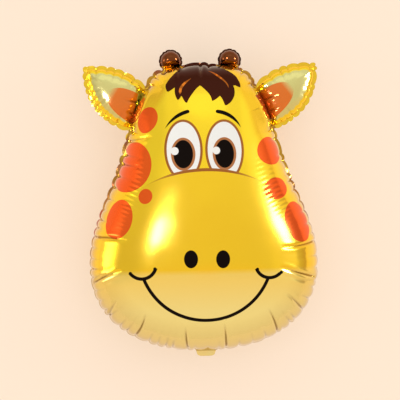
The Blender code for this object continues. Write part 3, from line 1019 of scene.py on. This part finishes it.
class Nodes:
    """Short ways to add nodes to a shader tree."""

    def __init__(self, tree):
        self.tree = tree

    def put(self, socket, value):
        if isinstance(value, bpy.types.NodeSocket):
            self.tree.links.new(value, socket)
        elif isinstance(value, tuple) and len(value) == 3 and len(socket.default_value) == 4:
            socket.default_value = (*value, 1.0)
        else:
            socket.default_value = value

    def fill(self, node, values):
        for name, value in values.items():
            self.put(node.inputs[name], value)

    def node(self, kind, inputs=(), **settings):
        made = self.tree.nodes.new(kind)
        for name, value in settings.items():
            setattr(made, name, value)
        for socket, value in zip(made.inputs, inputs):
            self.put(socket, value)
        return made

    def math(self, operation, *inputs, clamp=False):
        return self.node("ShaderNodeMath", inputs, operation=operation, use_clamp=clamp).outputs[0]

    def rise(self, value, slope, start):
        """The value times the slope plus the start, kept from 0 to 1."""
        return self.math("MULTIPLY_ADD", value, slope, start, clamp=True)

    def vector(self, operation, *inputs):
        made = self.node("ShaderNodeVectorMath", inputs, operation=operation)
        return made.outputs["Value" if operation in ("LENGTH", "DOT_PRODUCT") else "Vector"]

    def mix(self, share, below, above):
        made = self.node("ShaderNodeMix", data_type="RGBA")
        self.put(made.inputs[0], share)
        self.put(made.inputs[6], below)
        self.put(made.inputs[7], above)
        return made.outputs[2]

    def ramp(self, value, places):
        """A colour that runs through the given places, from the first at -1 to 1."""
        made = self.node("ShaderNodeValToRGB", [self.math("MULTIPLY_ADD", value, 0.5, 0.5)])
        stops = made.color_ramp.elements
        stops.remove(stops[1])
        for place, colour in places:
            stop = stops.new(0.5 + 0.5 * place) if place > -1 else stops[0]
            stop.color = (*colour, 1)
        return made.outputs[0]


class Inks(Nodes):
    """Masks of the print."""

    def __init__(self, tree):
        super().__init__(tree)
        self.place = self.node("ShaderNodeAttribute", attribute_name="print_place").outputs["Vector"]
        self.flat = self.vector("MULTIPLY", self.place, (1, 1, 0))
        self.across, self.up, _ = self.node("ShaderNodeSeparateXYZ", [self.place]).outputs

    def attribute(self, name):
        return self.node("ShaderNodeAttribute", attribute_name=name).outputs["Fac"]

    def noise(self, scale, detail):
        made = self.node("ShaderNodeTexNoise", [self.place])
        self.fill(made, {"Scale": scale, "Detail": detail})
        return made.outputs["Fac"]

    def mask(self, distance, edge=EDGE):
        """1 where the distance inside a shape is positive."""
        return self.rise(distance, 1 / edge, 0.5)

    def both(self, first, *masks):
        for mask in masks:
            first = self.math("MULTIPLY", first, mask)
        return first

    def either(self, first, *masks):
        for mask in masks:
            first = self.math("MAXIMUM", first, mask)
        return first

    def without(self, a, b):
        return self.both(a, self.math("SUBTRACT", 1.0, b))

    def off(self, start, way):
        """Distance in plan from a place along a way."""
        along = self.vector("DOT_PRODUCT", self.flat, (*way, 0))
        return self.math("SUBTRACT", along, float(way[0] * start[0] + way[1] * start[1]))

    def half_plane(self, start, end):
        """Mask of what lies to the right of the way from one pixel to another, in plan."""
        a, b = plan(*start), plan(*end)
        way = (b - a) / np.linalg.norm(b - a)
        return self.mask(self.off(a, (way[1], -way[0])))

    def ellipsoid(self, place, centre, turn, radii):
        """Mask of an ellipsoid: an ellipse on the film that it cuts, or in plan if the place is flat."""
        mapping = self.node("ShaderNodeMapping", [place, centre, turn, radii], vector_type="TEXTURE")
        size = (radii[0] + radii[1]) / 2
        return self.mask(self.math("MULTIPLY_ADD", self.vector("LENGTH", mapping.outputs[0]), -size, size))

    def ellipse(self, centre, radii, turn=0.0):
        return self.ellipsoid(self.flat, (*centre, 0), (0, 0, turn), (*radii, 1))

    def turned_ellipse(self, px, py, half_width, half_height, turn):
        return self.ellipse(plan(px, py), (half_width * PIXEL, half_height * PIXEL), math.radians(turn))

    def seen_ellipse(self, px, py, half_width, half_height, grow=0.0):
        """Mask of an upright ellipse of the photograph."""
        left, right = plan(px - half_width, py), plan(px + half_width, py)
        top, bottom = plan(px, py - half_height), plan(px, py + half_height)
        radii = [np.linalg.norm(b - a) / 2 + grow * PIXEL for a, b in ((left, right), (bottom, top))]
        return self.ellipse((left + right + top + bottom) / 4, radii)

    def seen_ring(self, oval, half):
        """Mask of a line round an ellipse of the photograph, given its half-width in pixels."""
        return self.without(self.seen_ellipse(*oval, grow=half), self.seen_ellipse(*oval, grow=-half))

    def disc(self, *pixels):
        """Mask of the disc whose edge runs through three pixels."""
        a, b, c = (Vector(plan(*p)) for p in pixels)
        u, v = b - a, c - a
        twice = 2 * (u.x * v.y - u.y * v.x)
        to_middle = Vector((v.y * u.dot(u) - u.y * v.dot(v), u.x * v.dot(v) - v.x * u.dot(u))) / twice
        return self.ellipse(a + to_middle, (to_middle.length, to_middle.length))

    def spot(self, px, py, half_width, half_height, turn):
        """Mask of a spot of the photograph as an ellipse lying in the film's own slope."""
        around = [on_film(px + dx, py + dy) for dx, dy in ((-6, 0), (6, 0), (0, -6), (0, 6))]
        normal = (around[1] - around[0]).cross(around[2] - around[3]).normalized()
        angle = math.radians(turn)
        ways = [Vector((math.cos(angle), math.sin(angle), 0)), Vector((-math.sin(angle), math.cos(angle), 0))]
        side, long = (way - Vector((0, 0, 1)) * way.dot(normal) / normal.z for way in ways)
        radii = (half_width * PIXEL * side.length, half_height * PIXEL * long.length, 0.05)
        u = (side - normal * side.dot(normal)).normalized()
        axes = Matrix((u, normal.cross(u), normal)).transposed()
        return self.ellipsoid(self.place, on_film(px, py), axes.to_euler(), radii)

    def petal(self, root, long, half, heading):
        """Mask of an orange petal, which fades towards its tip."""
        foot, angle = plan(*root), math.radians(heading)
        out = self.off(foot, (math.cos(angle), math.sin(angle)))
        fade = self.rise(out, -1 / PETAL_FADE, long * PIXEL * PETAL_END / PETAL_FADE)
        begun = self.mask(self.math("ADD", out, PETAL_FADE))
        return self.both(self.ellipse(foot, (long * PIXEL, half * PIXEL), angle), fade, begun)


def new_material(name):
    material = bpy.data.materials.new(name)
    material.use_nodes = True
    return material, material.node_tree.nodes["Principled BSDF"]


def black_lines(ink):
    """Mask of the nostrils, the mouth, the cheeks' curls with their round ends, and the brows."""
    half = MOUTH_STROKE / 2
    masks = [ink.seen_ellipse(*nostril) for nostril in NOSTRILS]
    for circle, ends in zip([SMILE, *CHEEKS], [SMILE_ENDS, *CHEEK_ENDS]):
        masks.append(ink.both(ink.seen_ring(circle, half), ink.half_plane(*ends)))
    for ends in CHEEK_ENDS:
        masks += [ink.seen_ellipse(*end, half, half) for end in ends]
    for upper, lower, (cut_start, cut_end, thick_end) in BROWS:
        brow = ink.without(ink.disc(*upper), ink.disc(*lower))
        masks += [ink.both(brow, ink.half_plane(cut_end, cut_start)), ink.seen_ellipse(*thick_end)]
    return ink.either(*masks)


def foil_material():
    material, shader = new_material("printed_foil")
    ink = Inks(material.node_tree)
    front = ink.math("GREATER_THAN", ink.attribute("front"), 0.5)
    back = ink.math("SUBTRACT", 1.0, front)
    inward = ink.attribute("inward")

    # Muzzle, a shade deeper in print, and the pale chin: partly cream print, partly painted reflection of the
    # pale floor, deepened along the rim by painted shade
    muzzle = ink.seen_ellipse(*MUZZLE)
    colour = ink.mix(ink.both(muzzle, front), YELLOW, GOLD)
    down = ink.math("SUBTRACT", float(plan(*CHIN_TOP)[1]), ink.up)
    pale = ink.both(ink.mask(down, CHIN_EDGE), ink.rise(down, 1 / CHIN_REACH, CHIN_START))
    deep = ink.rise(inward, 1 / RIM_CREAM_FADE, -RIM_CREAM_FROM / RIM_CREAM_FADE)
    colour = ink.mix(pale, colour, ink.mix(deep, SHADED_RIM_CREAM, CREAM))

    # Ears: a gold edge round a pale inside, with an orange petal at the foot that fades outwards; off the
    # pale inside the petal is a darker red of painted shade
    on_ear = ink.either(*[ink.half_plane(*line) for line in EAR_FEET])
    inside = ink.mask(ink.math("SUBTRACT", inward, EAR_EDGE), EAR_EDGE_BLUR)
    ear = ink.both(on_ear, inside, front)
    colour = ink.mix(ear, colour, EAR_SILVER)
    uncut = ink.either(ink.half_plane(*LEFT_PETAL_FOOT), ink.math("GREATER_THAN", ink.across, 0.0))
    petals = ink.both(ink.either(*[ink.petal(*petal) for petal in EAR_PETALS]), front, uncut)
    colour = ink.mix(petals, colour, ink.mix(ear, SHADED_RIM_RED, EAR_ORANGE))

    # The welded flange is painted a deeper gold, brown in patches: partly print over the rim, partly painted
    # shade and dark reflection; the film beside it gets painted shade too
    flange = ink.mask(ink.math("MULTIPLY_ADD", inward, -1.0, -FLANGE_EDGE / 2), FLANGE_EDGE)
    # Patches of painted dark reflection on the flange
    painted_dark_reflection = ink.rise(ink.noise(DARK_REFLECTION_SCALE, 2), 5.0, -2.2)
    welded = ink.mix(on_ear, ink.mix(painted_dark_reflection, FLANGE_GOLD, FLANGE_SHADE_BROWN), EAR_FLANGE)
    # Low on the flange and on the neck, the chin's cream of painted reflection
    neck = ink.mask(ink.math("SUBTRACT", CHIN, ink.up), 0.002)
    low = ink.rise(down, 1 / FLANGE_CREAM_REACH, FLANGE_CREAM_START)
    welded = ink.mix(low, welded, ink.mix(neck, FLANGE_CREAM, NECK_CREAM))
    colour = ink.mix(flange, colour, welded)
    # Painted shade on the film beside the weld, off the ears and the flange
    painted_weld_shade = ink.without(ink.rise(inward, -1.25 / WELD_FADE, 1.25), ink.either(on_ear, flange))
    colour = ink.mix(painted_weld_shade, colour, ink.vector("MULTIPLY", colour, WELD_PAINTED_SHADE))

    # Spots
    spots = ink.both(ink.either(*[ink.spot(*spot) for spot in SPOTS]), front)
    colour = ink.mix(spots, colour, ORANGE_RED)
    behind = ink.either(*[ink.turned_ellipse(*spot) for spot in BACK_SPOTS])
    colour = ink.mix(ink.both(behind, back), colour, ORANGE_RED)
    # Spots over the rim, in the darker red of painted shade
    on_rim = ink.either(*[ink.turned_ellipse(*spot) for spot in RIM_SPOTS])
    colour = ink.mix(ink.both(on_rim, ink.either(flange, back)), colour, SHADED_RIM_RED)

    # Line over the muzzle, fading at its ends
    line = ink.without(muzzle, ink.seen_ellipse(*MUZZLE_INSIDE))
    side = ink.math("ABSOLUTE", ink.math("SUBTRACT", ink.across, float(plan(MUZZLE[0], 180)[0])))
    fading = ink.rise(side, -1 / MUZZLE_LINE_FADE, MUZZLE_LINE_END / MUZZLE_LINE_FADE)
    colour = ink.mix(ink.both(line, fading, front), colour, LINE_BROWN)

    # Eyes, cut off below by the muzzle
    whites, pupils = [], []
    for eye, pupil, glint in zip(EYES, PUPILS, GLINTS):
        rim = ink.without(ink.both(ink.seen_ellipse(*eye), front), muzzle)
        white = ink.without(ink.both(ink.seen_ellipse(*eye, grow=-EYE_LINE), front), muzzle)
        ring = ink.both(ink.seen_ellipse(*pupil, grow=EYE_LINE), rim)
        dark = ink.both(ink.seen_ellipse(*pupil), rim)
        shine = ink.both(ink.seen_ellipse(*glint), rim)
        for mask, layer in zip(
            (rim, white, ring, dark, shine), (LINE_BROWN, EYE_WHITE, LINE_BROWN, INK_BLACK, EYE_WHITE)
        ):
            colour = ink.mix(mask, colour, layer)
        whites += [ink.without(white, dark), shine]
        pupils.append(dark)

    # Black lines, hair with its light strokes, horns, and the thin dark lines of painted shade along the
    # creases
    black = ink.both(black_lines(ink), front)
    colour = ink.mix(black, colour, INK_BLACK)
    hair = ink.mask(ink.attribute("hair"))
    colour = ink.mix(hair, colour, HAIR_BROWN)
    colour = ink.mix(ink.both(ink.mask(ink.attribute("strokes")), front), colour, STROKE_ORANGE)
    middles = [(side * HORN_OFFSET, HORN_CENTRE + HORN_INK_UP) for side in (1, -1)]
    horn = ink.either(*[ink.ellipse(middle, HORN_INK) for middle in middles])
    horn = ink.both(horn, ink.mask(ink.math("SUBTRACT", ink.up, HORN_INK_END)))
    colour = ink.mix(horn, colour, ink.mix(flange, HORN_BROWN, HORN_EDGE))
    # Painted shade: the creases darkened towards brown
    painted_crease_shade = ink.math("MULTIPLY", ink.attribute("painted_crease_shade"), 0.62, clamp=True)
    colour = ink.mix(painted_crease_shade, colour, CREASE_PAINTED_SHADE)

    # Metal film under a clear coat
    dark = ink.either(hair, horn, black, *pupils)
    metal = ink.math("MULTIPLY_ADD", dark, DARK_METAL, METAL)
    metal = ink.both(metal, ink.math("MULTIPLY_ADD", petals, PETAL_METAL, 1.0))
    coat = ink.math("MULTIPLY_ADD", dark, DARK_COAT, COAT)
    grain = ink.noise(GRAIN_SCALE, GRAIN_DETAIL)
    bump = ink.node("ShaderNodeBump")
    ink.fill(bump, {"Strength": 0.12, "Distance": 0.0006, "Height": grain})
    ink.fill(shader, {
        "Base Color": colour,
        "Metallic": ink.without(metal, ink.either(*whites)),
        "Roughness": ink.math("MULTIPLY_ADD", grain, ROUGHNESS_RANGE, SMOOTHEST),
        "Coat Weight": ink.math("MULTIPLY_ADD", ink.either(spots, petals), ORANGE_COAT, coat),
        "Coat Roughness": COAT_ROUGHNESS,
        "Normal": bump.outputs["Normal"],
    })
    return material


# Studio

# Light of the room by direction: shares along X, which multiply the colours along Y and Z; and where along Y
# the light that the floor sends up takes over
WHITE = (1.0, 1.0, 1.0)
DARK = (0.0, 0.0, 0.0)
LOW_LIGHT = (0.90, 0.74, 0.58)
PALE_LIGHT = (1.0, 1.0, 0.95)
FLOOR_LIGHT = (0.97, 0.79, 0.62)
ROOM_ALONG_X = [
    (-1.0, 1.25), (-0.92, 1.25), (-0.88, 0.82), (-0.66, 0.82), (-0.5, 0.95), (0.0, 1.0),
    (0.5, 0.97), (0.62, 0.97), (0.68, 1.08), (0.925, 1.08), (0.955, 0.76), (1.0, 0.74),
]
ROOM_ALONG_Y = [
    (-1.0, (0.87, 0.83, 0.74)), (0.0, (0.90, 0.83, 0.74)), (0.22, (0.94, 0.90, 0.82)),
    (0.6, PALE_LIGHT), (1.0, PALE_LIGHT),
]
ROOM_ALONG_Z = [(-1.0, LOW_LIGHT), (0.05, LOW_LIGHT), (0.35, WHITE), (1.0, WHITE)]
FLOORWARD = [(-1.0, WHITE), (-0.37, WHITE), (-0.22, DARK), (1.0, DARK)]

# A soft bright patch at the horizon: its direction, the radii of its full light and of its end, radiance
PATCH_WAY = (-0.99, -0.03, 0.14)
PATCH_FULL = 0.02
PATCH_END = 0.27
PATCH_GLOW = 4.0

# Lamps: name, direction, distance, size, radiance, and whether they light matt surfaces and show in gloss
LIGHTS = [
    ("crown_box", (0.05, 0.70, 0.72), 3.2, (2.4, 1.1), 0.2, True, True),
    ("left_box", (-0.45, 0.01, 0.89), 3.0, (0.60, 0.38), 50, False, True),
    ("right_box", (0.85, 0.12, 0.50), 3.0, (0.80, 0.75), 38, False, True),
    ("fill", (0.0, -0.15, 1.0), 4.0, (5.0, 5.0), 0.6, True, False),
]

# The floor is a light table: part of its brightness is its own
FLOOR_COLOUR = (0.47, 0.395, 0.34)
FLOOR_GLOW = (0.48, 0.39, 0.305)
FLOOR_HALF = 6.0
SENSOR_WIDTH = 36


def build_floor():
    mesh = bpy.data.meshes.new("floor")
    corners = [(x * FLOOR_HALF, y * FLOOR_HALF, 0) for x, y in ((-1, -1), (1, -1), (1, 1), (-1, 1))]
    mesh.from_pydata(corners, [], [(0, 1, 2, 3)])
    material, shader = new_material("pale_floor")
    Nodes(material.node_tree).fill(shader, {
        "Base Color": FLOOR_COLOUR, "Roughness": 0.7, "Emission Color": FLOOR_GLOW, "Emission Strength": 1.0,
    })
    mesh.materials.append(material)
    floor = add_object("floor", mesh)


def add_light(name, direction, distance, size, glow, on_matt, in_gloss):
    """An oval lamp that faces the middle of the balloon."""
    light = bpy.data.lights.new(name, "AREA")
    light.shape = "ELLIPSE"
    light.size, light.size_y = size
    light.energy = glow * math.pi * size[0] * size[1] * math.pi / 4
    lamp = add_object(name, light)
    centre = Vector((0, 0, WELD_PLANE))
    place = centre + Vector(direction).normalized() * distance
    lamp.location = place
    lamp.rotation_mode = "QUATERNION"
    lamp.rotation_quaternion = (centre - place).to_track_quat("-Z", "Y")
    lamp.visible_camera = False
    lamp.visible_diffuse = on_matt
    lamp.visible_glossy = in_gloss


def build_studio():
    world = bpy.data.worlds.new("studio")
    bpy.context.scene.world = world
    world.use_nodes = True
    room = Nodes(world.node_tree)
    way = room.node("ShaderNodeTexCoord").outputs["Generated"]
    x, y, z = room.node("ShaderNodeSeparateXYZ", [way]).outputs
    light = room.ramp(x, [(place, (share,) * 3) for place, share in ROOM_ALONG_X])
    light = room.vector("MULTIPLY", light, room.ramp(y, ROOM_ALONG_Y))
    light = room.vector("MULTIPLY", light, room.ramp(z, ROOM_ALONG_Z))
    light = room.mix(room.ramp(y, FLOORWARD), light, FLOOR_LIGHT)
    towards = room.vector("DOT_PRODUCT", way, Vector(PATCH_WAY).normalized())
    reach = [towards, math.cos(PATCH_END), math.cos(PATCH_FULL), 0.0, PATCH_GLOW]
    patch = room.node("ShaderNodeMapRange", reach, interpolation_type="SMOOTHSTEP")
    light = room.vector("ADD", light, patch.outputs["Result"])
    room.fill(world.node_tree.nodes["Background"], {"Color": light, "Strength": 1.0})
    for lamp in LIGHTS:
        add_light(*lamp)


def build_camera():
    data = bpy.data.cameras.new("camera")
    data.sensor_width = SENSOR_WIDTH
    data.lens = SENSOR_WIDTH * CAMERA_DISTANCE / (PHOTO_SIZE * PIXEL)
    camera = add_object("camera", data)
    turn = Matrix(camera_axes()).transposed()
    camera.matrix_world = Matrix.Translation(camera_place()) @ turn.to_4x4()
    bpy.context.scene.camera = camera


bpy.context.scene.view_settings.view_transform = "Standard"
build_camera()
build_studio()
build_floor()
balloon = build_balloon()
balloon.data.materials.append(foil_material())
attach(balloon, "root")
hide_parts("foil_balloon")
